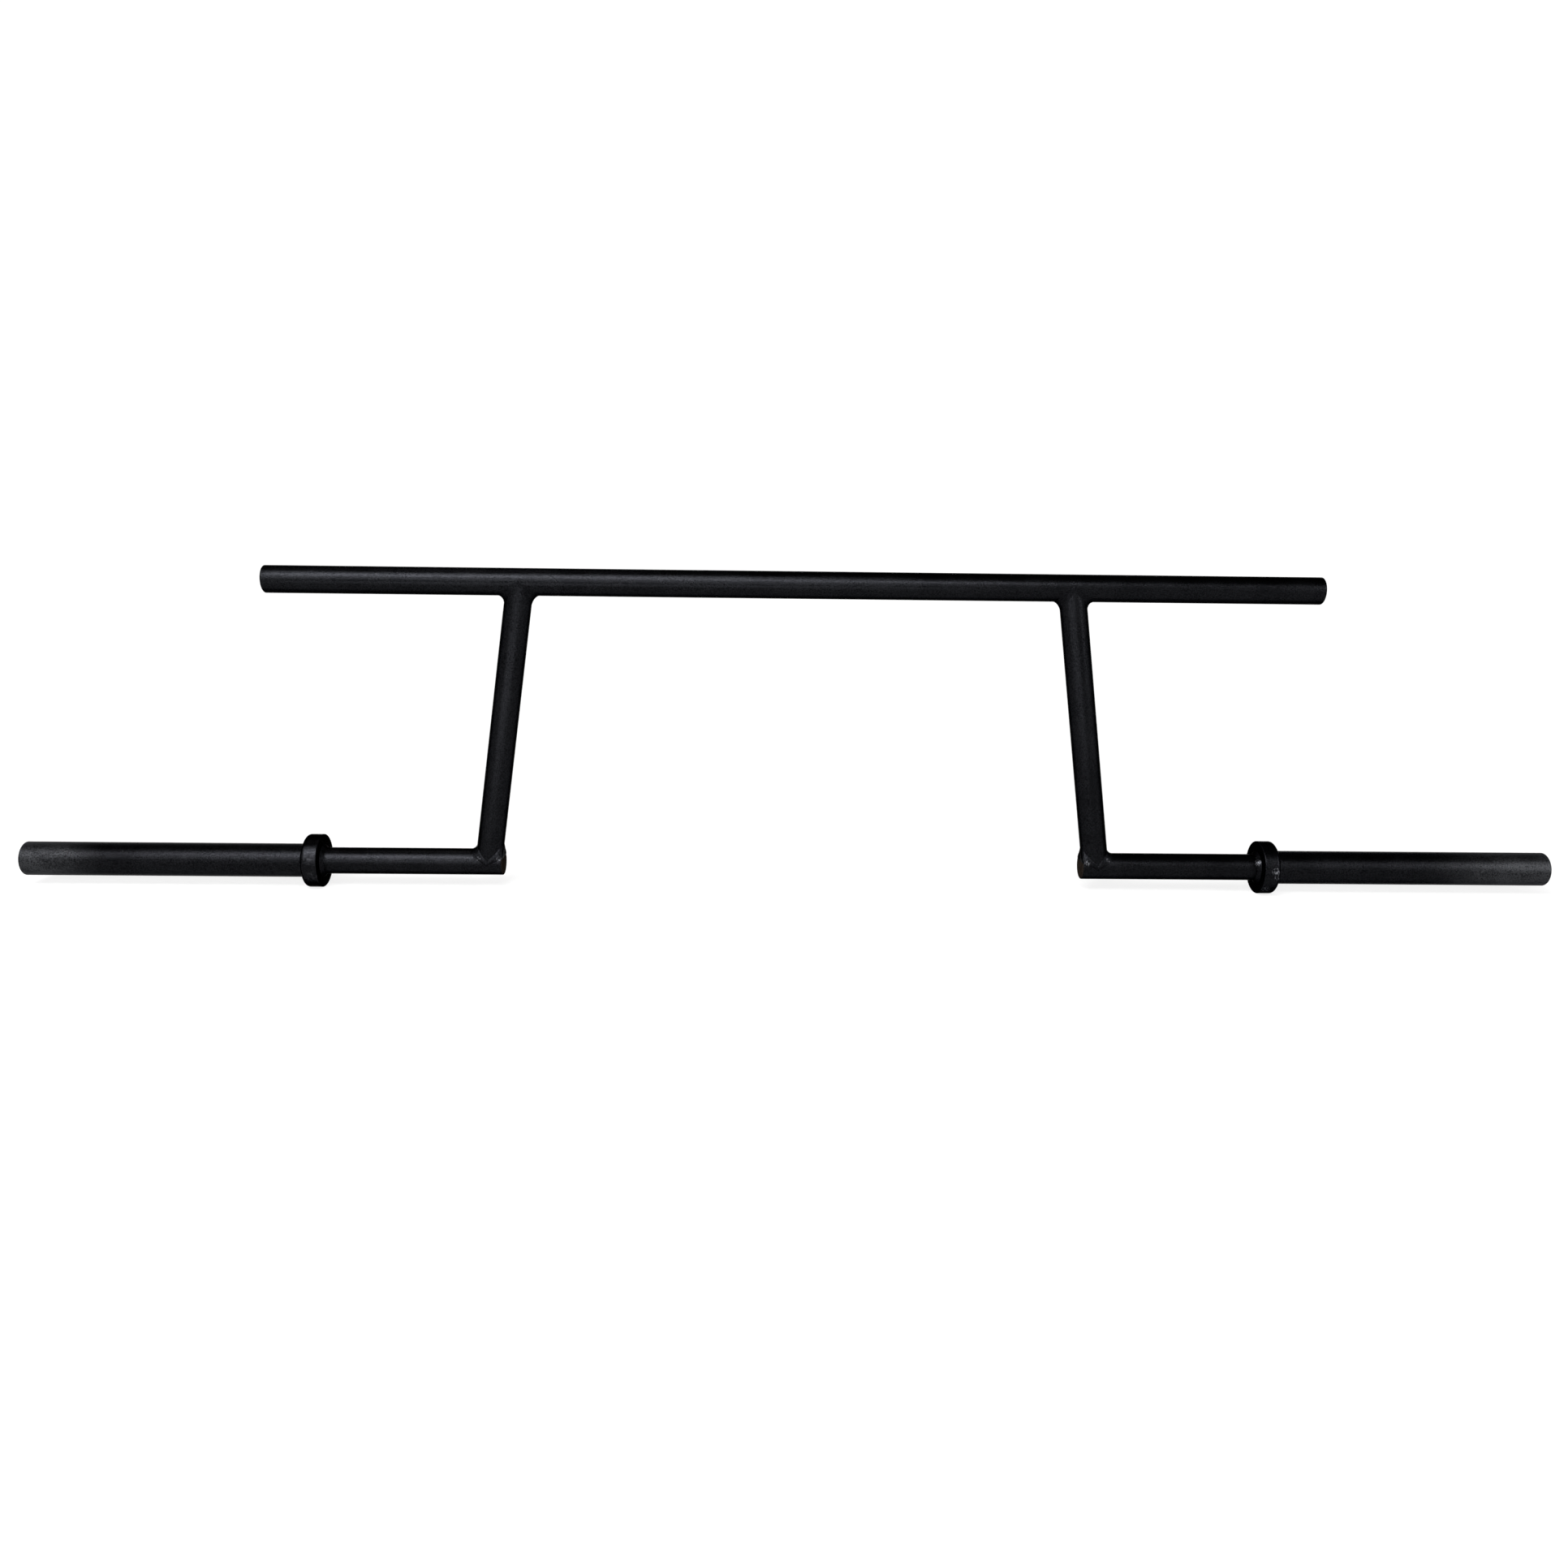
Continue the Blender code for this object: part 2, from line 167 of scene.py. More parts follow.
def turned_rings(outline, axis_z):
    """The outline, points of x and radius, turned round an axis that runs along X at height axis_z."""
    rings = []
    for step in range(SIDES):
        angle = 2 * math.pi * step / SIDES
        rings.append([(x, -r * math.cos(angle), axis_z + r * math.sin(angle)) for x, r in outline])
    return rings


def lengthwise(start, end, radius, count):
    """Points between two ends of a straight side, so that the faces aren't needlessly long."""
    return [(start + (end - start) * i / count, radius) for i in range(1, count)]


class TubeJoint:
    """Where a strut meets a bar that runs along X. The saddle is the line where the strut ends on the bar.

    Angles round the strut start on the side towards the collar. Angles round the bar start under the strut.
    """

    def __init__(self, centre, into_strut, bar_end=None):
        self.centre = centre
        self.into_strut = into_strut
        self.side = 1 if into_strut.z > 0 else -1
        self.outward = Vector((abs(into_strut.z), 0, -self.side * into_strut.x))
        self.bar_end = bar_end

    def radial(self, angle):
        return math.cos(angle) * self.outward + math.sin(angle) * Vector((0, 1, 0))

    def saddle(self, angle, radius=SHAFT_RADIUS, height=0):
        """Point where a line along the strut, at this radius and angle, comes out of the bar's surface."""
        radial = self.radial(angle)
        bar = SHAFT_RADIUS + height
        drop = math.sqrt(max(0, bar * bar - (radius * math.sin(angle)) ** 2))
        reach = (self.side * drop - radius * radial.z) / self.into_strut.z
        return self.centre + radius * radial + reach * self.into_strut

    def around(self, corner):
        return math.atan2(corner.y, self.side * (corner.z - self.centre.z))

    def bar_normal(self, around):
        return Vector((0, math.sin(around), self.side * math.cos(around)))

    def on_bar(self, x, around, radius):
        return Vector((x, 0, self.centre.z)) + radius * self.bar_normal(around)

    def above_strut(self, point):
        """Height over the strut's surface, and the direction away from it."""
        offset = point - self.centre
        offset = offset - offset.dot(self.into_strut) * self.into_strut
        return offset.length - SHAFT_RADIUS, offset.normalized()

    def above_bar(self, point):
        """Height over the bar's surface or its rounded end, and the direction away from it."""
        radial = point - self.centre
        radial.x = 0
        over = radial.length - SHAFT_RADIUS + RIM_ROUND
        past = 0 if self.bar_end is None else self.bar_end + RIM_ROUND - point.x
        away = max(0, over) * radial.normalized() - Vector((max(0, past), 0, 0))
        return away.length - RIM_ROUND, away.normalized()


TOP_JOINT = TubeJoint(STRUT_TOP, STRUT_DOWN)
FOOT_JOINT = TubeJoint(STRUT_FOOT, -STRUT_DOWN, bar_end=ARM_START)


def add_top_bar(materials):
    half = TOP_BAR_LENGTH / 2
    outline = [(half, TUBE_BORE)] + rim_arc(half, SHAFT_RADIUS, RIM_ROUND, -1)[::-1]
    outline += lengthwise(half - RIM_ROUND, -half + RIM_ROUND, SHAFT_RADIUS, TOP_BAR_STEPS)
    outline += rim_arc(-half, SHAFT_RADIUS, RIM_ROUND, 1) + [(-half, TUBE_BORE)]
    add_piece("bar_tube", loft_mesh(turned_rings(outline, 0)), "right", materials, "top_bar")


def add_plug(side, materials):
    face = TOP_BAR_LENGTH / 2 - PLUG_RECESS
    radius = TUBE_BORE - PLAY
    outline = [(face - depth, r) for depth, r in CENTRE_MARK]
    outline += [(face, radius - PLUG_BORDER)] + rim_arc(face, radius, PLUG_ROUND, -1)[::-1]
    outline += [(face - PLUG_THICKNESS, radius), (face - PLUG_THICKNESS, 0)]
    mesh = loft_mesh(turned_rings(outline, 0), closed_section=False)
    add_piece(side + "_bar_plug", mesh, side, materials, "top_bar_" + side + "_plug")


def add_strut(side, materials):
    rings = []
    for step in range(SIDES):
        angle = 2 * math.pi * step / SIDES
        top_out = TOP_JOINT.saddle(angle, SHAFT_RADIUS, -STRUT_SINK)
        foot_out = FOOT_JOINT.saddle(angle, SHAFT_RADIUS, -STRUT_SINK)
        top_in = TOP_JOINT.saddle(angle, TUBE_BORE, -STRUT_SINK)
        foot_in = FOOT_JOINT.saddle(angle, TUBE_BORE, -STRUT_SINK)
        outer = [top_out.lerp(foot_out, i / STRUT_STEPS) for i in range(STRUT_STEPS + 1)]
        rings.append(outer + [foot_in, top_in])
    add_piece(side + "_drop_tube", loft_mesh(rings), side, materials, side + "_strut")


def add_arm(side, materials):
    """The inner end face gets the second material."""
    start, end = ARM_START, HALF_LENGTH
    outline = [(end, 0), (end, SHAFT_RADIUS - END_BEVEL), (end - END_BEVEL, SHAFT_RADIUS)]
    outline += lengthwise(end - END_BEVEL, start + RIM_ROUND, SHAFT_RADIUS, ARM_STEPS)
    outline += rim_arc(start, SHAFT_RADIUS, RIM_ROUND, 1)
    outline += [(start, SHAFT_RADIUS * ARM_FACE_RING), (start, 0)]
    mesh = loft_mesh(turned_rings(outline, -DROP), closed_section=False)
    for face in mesh.polygons:
        if face.center.x < start + RIM_ROUND * SAWN_SHARE:
            face.material_index = 1
    add_piece(side + "_arm_bar", mesh, side, materials, side + "_arm")


def add_collar(side, materials):
    start, end = COLLAR_START, COLLAR_END
    seat = end - SEAT_DEPTH
    bore = SHAFT_RADIUS + PLAY
    seat_radius = SLEEVE_RADIUS + GAP
    outline = [(seat, bore), (seat, seat_radius), (end, seat_radius + SEAT_BEVEL)]
    outline += rim_arc(end, COLLAR_RADIUS, COLLAR_OUTER_ROUND, -1)[::-1]
    outline += lengthwise(end - COLLAR_OUTER_ROUND, start + COLLAR_INNER_ROUND, COLLAR_RADIUS, COLLAR_STEPS)
    outline += rim_arc(start, COLLAR_RADIUS, COLLAR_INNER_ROUND, 1) + [(start, bore)]
    mesh = loft_mesh(turned_rings(outline, -DROP))
    add_piece(side + "_stop_collar", mesh, side, materials, side + "_collar")


def add_sleeve(side, materials):
    start, end = COLLAR_END - SEAT_DEPTH + PLAY, HALF_LENGTH
    bore = SHAFT_RADIUS + GAP
    outline = [(end, bore)] + rim_arc(end, SLEEVE_RADIUS, RIM_ROUND, -1)[::-1]
    outline += lengthwise(end - RIM_ROUND, start, SLEEVE_RADIUS, SLEEVE_STEPS)
    outline += [(start, SLEEVE_RADIUS), (start, bore)]
    mesh = loft_mesh(turned_rings(outline, -DROP))
    add_piece(side + "_plate_sleeve", mesh, side, materials, side + "_sleeve")


# Ring welds at the collars and the sleeves' ends, in metres
COLLAR_BEAD = (0.0048, -0.0002)     # leg and crown of the bead inside a collar
SLEEVE_BEAD = (0.0042, 0.0004)      # and of the one outside it
BEAD_SINK = 0.0002          # how far a bead's toes and root lie below the surfaces it is laid on
BEAD_SLANT = 0.7            # share of a bulge that goes along X, and outward
END_BEAD_RECESS = 0.0003
# Depth below the end bead's face, and share of its leg below the rim
END_BEAD_FACE = ((0.0004, 1), (0, 0.75), (-0.0001, 0.5), (0, 0.25), (0.0003, 0))

# Where a bead was started, inside and outside each collar: angle, half width, extra reach and extra bulge
BEAD_LUMPS = {
    "right": ((math.radians(32), math.radians(14), 0.0036, 0.0012),
              (math.radians(32), math.radians(10), 0.0006, 0.0010)),
    "left": (None, (math.radians(148), math.radians(12), 0.0008, 0.0003)),
}

# Unevenness of the welds. Swells and lumps say how fine it is, and the rest how much of it a size takes.
BEAD_SWELLS, BEAD_SWELL_SHARE = 2.3, 0.8
LUMPS, BEAD_LUMP_SHARE = 6.0, 0.4
LEG_SWELLS = 3.3
FILLET_SWELLS = 2.7
BEAD_LEG_CHANGE = 0.25
BEAD_HEIGHT, BEAD_HEIGHT_CHANGE = 0.95, 0.20
BEAD_CROWN_CHANGE = 0.9
FILLET_LEG_CHANGE = 0.10
FILLET_LUMP_HEIGHT = 0.00010

# Ripples that the weld pool leaves: height in metres, number round a shaft, and how far they wander
WELD_RIPPLE = 0.00002
BEAD_RIPPLES, BEAD_RIPPLE_WANDER = 58, 3
FILLET_RIPPLES, FILLET_RIPPLE_WANDER = 70, 4

# Numbers that pick the unevenness, for the beads inside and outside a collar and the fillets at top and foot
BEAD_SEEDS = {"right": (2, 3), "left": (7, 8)}
FILLET_SEEDS = {"right": (3, 6), "left": (10, 13)}


def waver(angle, seed, fineness, offset=(0, 0, 0)):
    """Smooth noise, above and below 0, that comes back to its start after a full turn."""
    around = Vector((math.cos(angle), math.sin(angle), seed))
    return noise.noise(around * fineness + Vector(offset))


def ring_weld_rings(wall, away, floor, leg_and_crown, seed, lump):
    """Bead in the corner between a shaft of radius floor and a wall at x = wall.

    away is the X direction from the wall to the bead. lump is one of BEAD_LUMPS.
    """
    leg, crown = leg_and_crown
    rings = []
    for step in range(WELD_STATIONS):
        angle = 2 * math.pi * step / WELD_STATIONS
        swell = waver(angle, seed, BEAD_SWELLS) * BEAD_SWELL_SHARE
        rough = swell + waver(angle, seed, LUMPS) * BEAD_LUMP_SHARE
        ripple = WELD_RIPPLE * math.sin(BEAD_RIPPLES * angle + BEAD_RIPPLE_WANDER * rough)
        foot = leg * (1 + BEAD_LEG_CHANGE * rough)
        height = leg * (BEAD_HEIGHT + BEAD_HEIGHT_CHANGE * waver(angle, seed, LEG_SWELLS, (5, 5, 5)))
        bulge = crown * (1 + BEAD_CROWN_CHANGE * rough) + ripple
        if lump is not None:
            off = math.remainder(angle - lump[0], 2 * math.pi) / lump[1]
            bell = math.exp(-off * off)
            foot += lump[2] * bell
            bulge += lump[3] * bell
        section = []
        for i in range(WELD_FACE_STEPS + 1):
            share = i / WELD_FACE_STEPS
            x = wall + away * (foot * (1 - share) - BEAD_SINK * share)
            r = floor - BEAD_SINK * (1 - share) + height * share
            lift = bulge * 4 * share * (1 - share)
            section.append((x + away * lift * BEAD_SLANT, r + lift * BEAD_SLANT))
        section.append((wall - away * BEAD_SINK, floor - BEAD_SINK))
        rings.append([(x, -r * math.cos(angle), -DROP + r * math.sin(angle)) for x, r in section])
    return rings


def add_ring_welds(side, materials):
    """Beads inside and outside the collar. The root of the outer one fills the bevel of the sleeve's seat."""
    inner_seed, outer_seed = BEAD_SEEDS[side]
    inner_lump, outer_lump = BEAD_LUMPS[side]
    rings = ring_weld_rings(COLLAR_START, -1, SHAFT_RADIUS, COLLAR_BEAD, inner_seed, inner_lump)
    add_piece(side + "_collar_bead", loft_mesh(rings), side, materials,
              side + "_collar_weld", SHARP_ON_BEADS)
    rings = ring_weld_rings(COLLAR_END, 1, SLEEVE_RADIUS, SLEEVE_BEAD, outer_seed, outer_lump)
    for ring in rings:
        x, y, z = ring[-1]
        ring[-1] = (COLLAR_END - SEAT_DEPTH + 2 * GAP, y, z)
    add_piece(side + "_sleeve_bead", loft_mesh(rings), side, materials,
              side + "_sleeve_root_weld", SHARP_ON_BEADS)


def add_end_weld(side, materials):
    """Dressed weld between the arm's bevelled end and the sleeve."""
    face = HALF_LENGTH - END_BEAD_RECESS
    rim = SHAFT_RADIUS + GAP + PLAY
    leg = END_BEVEL + PLAY
    outline = [(face - depth, rim - leg * share) for depth, share in END_BEAD_FACE] + [(face - leg, rim)]
    mesh = loft_mesh(turned_rings(outline, -DROP))
    add_piece(side + "_end_bead", mesh, side, materials, side + "_sleeve_end_weld")


# Shape of a strut weld, in metres. bar_leg, strut_leg and hollow are pairs, for the side towards the collar
# and the side towards the middle. front_legs holds the bar's leg and the strut's at the front and back.
# hollow is the share by which the face is drawn in towards the corner. crown is a pair too, for the front and
# back and for the rest. Between front and side, flank lengthens the bar's leg and bulge raises the face.
# over_rim lengthens the leg that runs down the bar's end.
TOP_FILLET = {"bar_leg": (0.0083, 0.0083), "strut_leg": (0.0098, 0.0124), "front_legs": (0.0042, 0.0055),
              "hollow": (0.62, 0.62), "crown": (0.0003, 0.0003), "bulge": 0, "flank": 0, "over_rim": 0}
FOOT_FILLET = {"bar_leg": (0.0072, 0.0068), "strut_leg": (0.0072, 0.0080), "front_legs": (0.0026, 0.0050),
               "hollow": (0.62, 0.20), "crown": (0.0010, 0.0006), "bulge": 0.0009, "flank": 0.0032,
               "over_rim": 0.0050}
LIP_SHIFT = 0.45            # how far the face's crest leans towards the bar at a joint's front and back
LEVEL_DEPTH = 0.002         # depth of the corner below the toes at which crown and lip have faded out
TOE_SINK = 0.00008          # how far the toes lie below the tubes' surfaces
FACE_HEIGHT = 0.0003        # least height of the face's middle over the toes' level
ROOT_DEPTH = 0.0012         # how far the weld's hidden side lies below the toes
ROOT_INSET = 0.002          # how far its hidden corner lies inside both tubes
SIDE_SPAN = (-0.9, 0.9)     # where the first of a pair gives way to the second, as minus the angle's cosine
OVER_RIM_SPAN = (0.3, 1.0)  # where the leg down the bar's end grows, in the same measure


def bar_side_of_weld(joint, angle, corner, leg):
    """Toe of the weld on the bar, the surface's normal there, and the corner that the weld's face clears."""
    turned = joint.around(corner) + leg * math.sin(angle) / SHAFT_RADIUS
    toe_x = corner.x + leg * math.cos(angle)
    normal = joint.bar_normal(turned)
    if joint.bar_end is None or toe_x > joint.bar_end + RIM_ROUND:
        return joint.on_bar(toe_x, turned, SHAFT_RADIUS), normal, corner
    past = joint.bar_end + RIM_ROUND - toe_x
    roll = min(past / RIM_ROUND, math.pi / 2)
    normal = math.cos(roll) * normal + math.sin(roll) * Vector((-1, 0, 0))
    core = joint.on_bar(joint.bar_end + RIM_ROUND, turned, SHAFT_RADIUS - RIM_ROUND - past + roll * RIM_ROUND)
    rim = joint.on_bar(joint.bar_end, joint.around(corner), SHAFT_RADIUS)
    return core + RIM_ROUND * normal, normal, corner.lerp(rim, smooth_step(0, leg / 2, past))


def lifted(point, height_and_direction, height):
    """The point, raised to at least this height over a surface."""
    now, away = height_and_direction
    return point + max(0, height - now) * away


def strut_weld_section(joint, angle, bar_leg, strut_leg, hollow, crown, bulge, rough):
    """Section of the weld: its face, curved from the strut's toe to the bar's, and its hidden root."""
    corner = joint.saddle(angle)
    radial = joint.radial(angle)
    strut_toe = corner + strut_leg * joint.into_strut
    bar_toe, bar_normal, corner = bar_side_of_weld(joint, angle, corner, bar_leg)
    out = (radial + bar_normal).normalized()
    middle = (strut_toe + bar_toe) / 2
    level = smooth_step(-LEVEL_DEPTH, 0, (corner - middle).dot(out))
    lip = LIP_SHIFT * level * math.sin(angle) ** 4
    crest = middle.lerp(corner, hollow + (1 - hollow) * level).lerp(bar_toe, lip)
    crest += 2 * (crown * level + bulge) * out
    start = strut_toe - TOE_SINK * radial
    end = bar_toe - TOE_SINK * bar_normal
    section = []
    for step in range(WELD_FACE_STEPS + 1):
        share = step / WELD_FACE_STEPS
        bell = math.sin(math.pi * share)
        point = (1 - share) ** 2 * start + 2 * share * (1 - share) * crest + share ** 2 * end
        height = -TOE_SINK + FACE_HEIGHT * bell
        point = lifted(point, joint.above_strut(point), height)
        point = lifted(point, joint.above_bar(point), height)
        section.append(point + rough * bell * out)
    section.append(bar_toe - ROOT_DEPTH * bar_normal)
    section.append(joint.saddle(angle, SHAFT_RADIUS - ROOT_INSET, -ROOT_INSET))
    section.append(strut_toe - ROOT_DEPTH * radial)
    return section


def strut_weld_rings(joint, form, seed):
    rings = []
    for step in range(WELD_STATIONS):
        angle = 2 * math.pi * step / WELD_STATIONS
        bar_wobble = waver(angle, seed, FILLET_SWELLS)
        strut_wobble = waver(angle, seed, LEG_SWELLS, (9, 2, 4))
        front = math.sin(angle) ** 2
        flank = 4 * front * (1 - front)
        inner = smooth_step(*SIDE_SPAN, -math.cos(angle))
        bar_leg = between((between(form["bar_leg"], inner), form["front_legs"][0]), front)
        bar_leg *= 1 + FILLET_LEG_CHANGE * bar_wobble
        bar_leg += form["flank"] * flank + form["over_rim"] * smooth_step(*OVER_RIM_SPAN, -math.cos(angle))
        strut_leg = between((between(form["strut_leg"], inner), form["front_legs"][1]), front)
        strut_leg *= 1 + FILLET_LEG_CHANGE * strut_wobble
        ripple = WELD_RIPPLE * math.sin(FILLET_RIPPLES * angle + FILLET_RIPPLE_WANDER * bar_wobble)
        rough = FILLET_LUMP_HEIGHT * waver(angle, seed, LUMPS) + ripple
        hollow = between(form["hollow"], inner)
        crown = between(form["crown"], 1 - front ** 3)
        bulge = form["bulge"] * flank
        rings.append(strut_weld_section(joint, angle, bar_leg, strut_leg, hollow, crown, bulge, rough))
    return rings


def add_strut_welds(side, materials):
    top_seed, foot_seed = FILLET_SEEDS[side]
    rings = strut_weld_rings(TOP_JOINT, TOP_FILLET, top_seed)
    add_piece(side + "_top_fillet", loft_mesh(rings), side, materials,
              side + "_strut_top_weld", SHARP_ON_FILLETS)
    rings = strut_weld_rings(FOOT_JOINT, FOOT_FILLET, foot_seed)
    add_piece(side + "_foot_fillet", loft_mesh(rings), side, materials,
              side + "_strut_foot_weld", SHARP_ON_FILLETS)


# Materials. The colours are linear.
BLACK = (0.0014, 0.0015, 0.0018)
BLACK_PALE = (0.0103, 0.0106, 0.0121)
# Darker paint on the welds, a painted shade that dims their highlights
WELD_SHADED_PALE = (0.0078, 0.0080, 0.0092)
# Paler paint on the left collar, a painted highlight that brightens its reflection
LEFT_COLLAR_LIT_PALE = (0.0108, 0.0111, 0.0126)
# Paler paint at the sleeves' outer ends: scuffing from the plates, and a painted sheen that brightens the
# ends
SCUFFED_AND_SHEEN = (0.035, 0.036, 0.039)
# Paler paint at chipped places, and for painted glints
RUBBED_AND_GLINT = (0.130, 0.133, 0.146)
SAWN_DARK = (0.0060, 0.0038, 0.0030)
SAWN_BROWN = (0.027, 0.021, 0.017)

# Layers of the paint: the noise's scale, detail and roughness, the part of its range in which the layer comes
# in, and the most of the pale colour that it brings
PATCHES, PATCH_SPAN, PATCH_SHARE = (26, 3, 0.55), (0.36, 0.66), 0.15
MOTTLE, MOTTLE_SPAN, MOTTLE_SHARE = (330, 2, 0.5), (0.38, 0.62), 0.16
SPECKS, SPECK_SPAN, SPECK_SHARE = (640, 2, 0.6), (0.37, 0.63), 0.80
GLOSS_SPAN = (0.35, 0.7)
GLOSS_LESS, GLOSS_MORE = 0.03, 0.04     # how far the roughness goes below and above its mean
PEEL_SCALE, FINE_PEEL_SCALE = 130, 200
PEEL_DETAIL = (2, 0.5)      # detail and roughness of the orange peel's noise
PEEL_HEIGHT = 0.001
GRAIN_HEIGHT = 0.0003
EDGE_TINT = 0.25            # share of the light that is left in reflections at grazing angles

# Wear of the paint, with painted sheen and painted glints laid in the same way: noises, the part of their
# range that counts, and the least and most of it
SCUFF_SHEEN_SPECKS, SCUFF_SHEEN_SPECK_SHARES = (560, 3, 0.6), (0.15, 1.8)
SCUFF_SHEEN_STREAKS, SCUFF_SHEEN_STREAK_SHARES = (60, 3, 0.6), (0.6, 1.25)
SCUFF_SHEEN_SPAN = (0.36, 0.64)
FLAKES, FLAKE_SPAN = (480, 3, 0.6), (0.50, 0.60)
STREAK_STRETCH = (0.35, 1, 1)           # below 1 the noise is drawn out along that axis
FLAKE_STRETCH = (1, 1, 0.6)
CHIP_GLINT_CORE = 0.4             # share of a place's radius within which the chip or painted glint is full
WORN_OR_LIT_ROUGHNESS = 0.16       # added to the roughness where the paint is scuffed or chipped, and where sheen and glints are painted

# Sawn ends: noises, the part of their range that counts, and the most of the brown colour that each brings
SAWN_PATCHES, SAWN_PATCH_SPAN, SAWN_PATCH_SHARE = (170, 4, 0.6), (0.36, 0.66), 0.6
SAWN_SPECKS, SAWN_SPECK_SPAN, SAWN_SPECK_SHARE = (900, 2, 0.6), (0.33, 0.67), 0.4
SAWN_HEIGHT = 0.0008
SAWN_PATCH_BUMP, SAWN_SPECK_BUMP = 0.6, 0.8
SAWN_ROUGHNESS = 0.75

# Places where the paint is chipped, or where a glint is painted as paler paint: a point on the surface, a
# radius and a strength
CHIPPED_AND_GLINTS = {
    "right": [((0.6918, -0.0379, -0.3964), 0.0075, 1.0), ((0.6933, -0.0375, -0.4067), 0.0055, 0.6),
              ((0.6821, -0.0272, -0.4267), 0.0090, 0.35)],
    "left": [((-0.6846, -0.0371, -0.3915), 0.0060, 0.10), ((-0.6821, -0.0352, -0.4145), 0.0110, 0.12),
             ((-0.6850, -0.0180, -0.4330), 0.0120, 0.20)],
}
# Painted glints on the welds: paler paint where highlights fall on the collar beads and beside the strut feet
WELD_GLINTS = {
    "right": [((0.6690, -0.0182, -0.3886), 0.0075, 1.0), ((0.7025, -0.0225, -0.3860), 0.0065, 1.0),
              ((0.4240, -0.0187, -0.3915), 0.0050, 0.6), ((0.4548, -0.0170, -0.3869), 0.0045, 0.4),
              ((0.4372, -0.0157, -0.3825), 0.0110, 0.25)],
    "left": [((-0.4512, -0.0199, -0.3919), 0.0065, 0.5), ((-0.4208, -0.0193, -0.3930), 0.0060, 0.5)],
}


def add_node(tree, kind, **settings):
    node = tree.nodes.new(kind)
    for name, value in settings.items():
        setattr(node, name, value)
    return node


def noise_node(tree, scale, detail, roughness, offset=(0, 0, 0), stretch=(1, 1, 1)):
    """Noise in the frame's coordinates, in metres: the texture's features are about 1/scale wide."""
    place = add_node(tree, "ShaderNodeMapping")
    place.inputs["Location"].default_value = offset
    place.inputs["Scale"].default_value = stretch
    texture = add_node(tree, "ShaderNodeTexNoise")
    texture.inputs["Scale"].default_value = scale
    texture.inputs["Detail"].default_value = detail
    texture.inputs["Roughness"].default_value = roughness
    tree.links.new(tree.nodes["position"].outputs["Object"], place.inputs["Vector"])
    tree.links.new(place.outputs["Vector"], texture.inputs["Vector"])
    return texture.outputs["Fac"]


def ramp_node(tree, source, span, low, high):
    """Goes from low to high while the source goes through the span."""
    ramp = add_node(tree, "ShaderNodeMapRange")
    ramp.inputs["From Min"].default_value = span[0]
    ramp.inputs["From Max"].default_value = span[1]
    ramp.inputs["To Min"].default_value = low
    ramp.inputs["To Max"].default_value = high
    tree.links.new(source, ramp.inputs["Value"])
    return ramp.outputs["Result"]


def blend_colours(tree, factor, first, second):
    """Colour between first and second. first is a colour or another node's output."""
    mix = add_node(tree, "ShaderNodeMix", data_type="RGBA")
    sockets = {socket.name: socket for socket in mix.inputs if socket.enabled}
    tree.links.new(factor, sockets["Factor"])
    if isinstance(first, tuple):
        sockets["A"].default_value = (*first, 1)
    else:
        tree.links.new(first, sockets["A"])
    sockets["B"].default_value = (*second, 1)
    return next(socket for socket in mix.outputs if socket.enabled)


def bump_node(tree, height, distance, strength, below=None):
    bump = add_node(tree, "ShaderNodeBump")
    bump.inputs["Distance"].default_value = distance
    bump.inputs["Strength"].default_value = strength
    tree.links.new(height, bump.inputs["Height"])
    if below is not None:
        tree.links.new(below, bump.inputs["Normal"])
    return bump.outputs["Normal"]


def combine(tree, operation, first, second):
    """Sum, product or greater of two outputs. A sum stops at 1."""
    result = add_node(tree, "ShaderNodeMath", operation=operation, use_clamp=operation == "ADD")
    tree.links.new(first, result.inputs[0])
    tree.links.new(second, result.inputs[1])
    return result.outputs[0]


def start_material(name):
    """New material with its node that gives the position in the frame."""
    material = bpy.data.materials.new(name)
    material.use_nodes = True
    tree = material.node_tree
    position = add_node(tree, "ShaderNodeTexCoord")
    position.name = "position"
    return material, tree, tree.nodes["Principled BSDF"]


def scuffs_and_sheen(tree, span):
    """Share of scuffed paint with painted sheen, patchy and speckled, from none at the span's start in X to
    most at its end.
    """
    split = add_node(tree, "ShaderNodeSeparateXYZ")
    tree.links.new(tree.nodes["position"].outputs["Object"], split.inputs["Vector"])
    along = ramp_node(tree, split.outputs["X"], span, 0, 1)
    along.node.interpolation_type = "SMOOTHSTEP"
    specks = noise_node(tree, *SCUFF_SHEEN_SPECKS, offset=(7, 2, 5))
    specks = ramp_node(tree, specks, SCUFF_SHEEN_SPAN, *SCUFF_SHEEN_SPECK_SHARES)
    streaks = noise_node(tree, *SCUFF_SHEEN_STREAKS, stretch=STREAK_STRETCH)
    streaks = ramp_node(tree, streaks, SCUFF_SHEEN_SPAN, *SCUFF_SHEEN_STREAK_SHARES)
    return combine(tree, "MULTIPLY", along, combine(tree, "MULTIPLY", specks, streaks))


def chip_and_glint_share(tree, places):
    """Share of chipped paint and of painted glints round a few places, each a point, a radius and a strength.
    """
    flakes = noise_node(tree, *FLAKES, offset=(1, 8, 3), stretch=FLAKE_STRETCH)
    flakes = ramp_node(tree, flakes, FLAKE_SPAN, 0, 1)
    total = None
    for point, radius, strength in places:
        reach = add_node(tree, "ShaderNodeVectorMath", operation="DISTANCE")
        tree.links.new(tree.nodes["position"].outputs["Object"], reach.inputs[0])
        reach.inputs[1].default_value = point
        near = ramp_node(tree, reach.outputs["Value"], (radius * CHIP_GLINT_CORE, radius), strength, 0)
        total = near if total is None else combine(tree, "ADD", total, near)
    return combine(tree, "MULTIPLY", total, flakes)


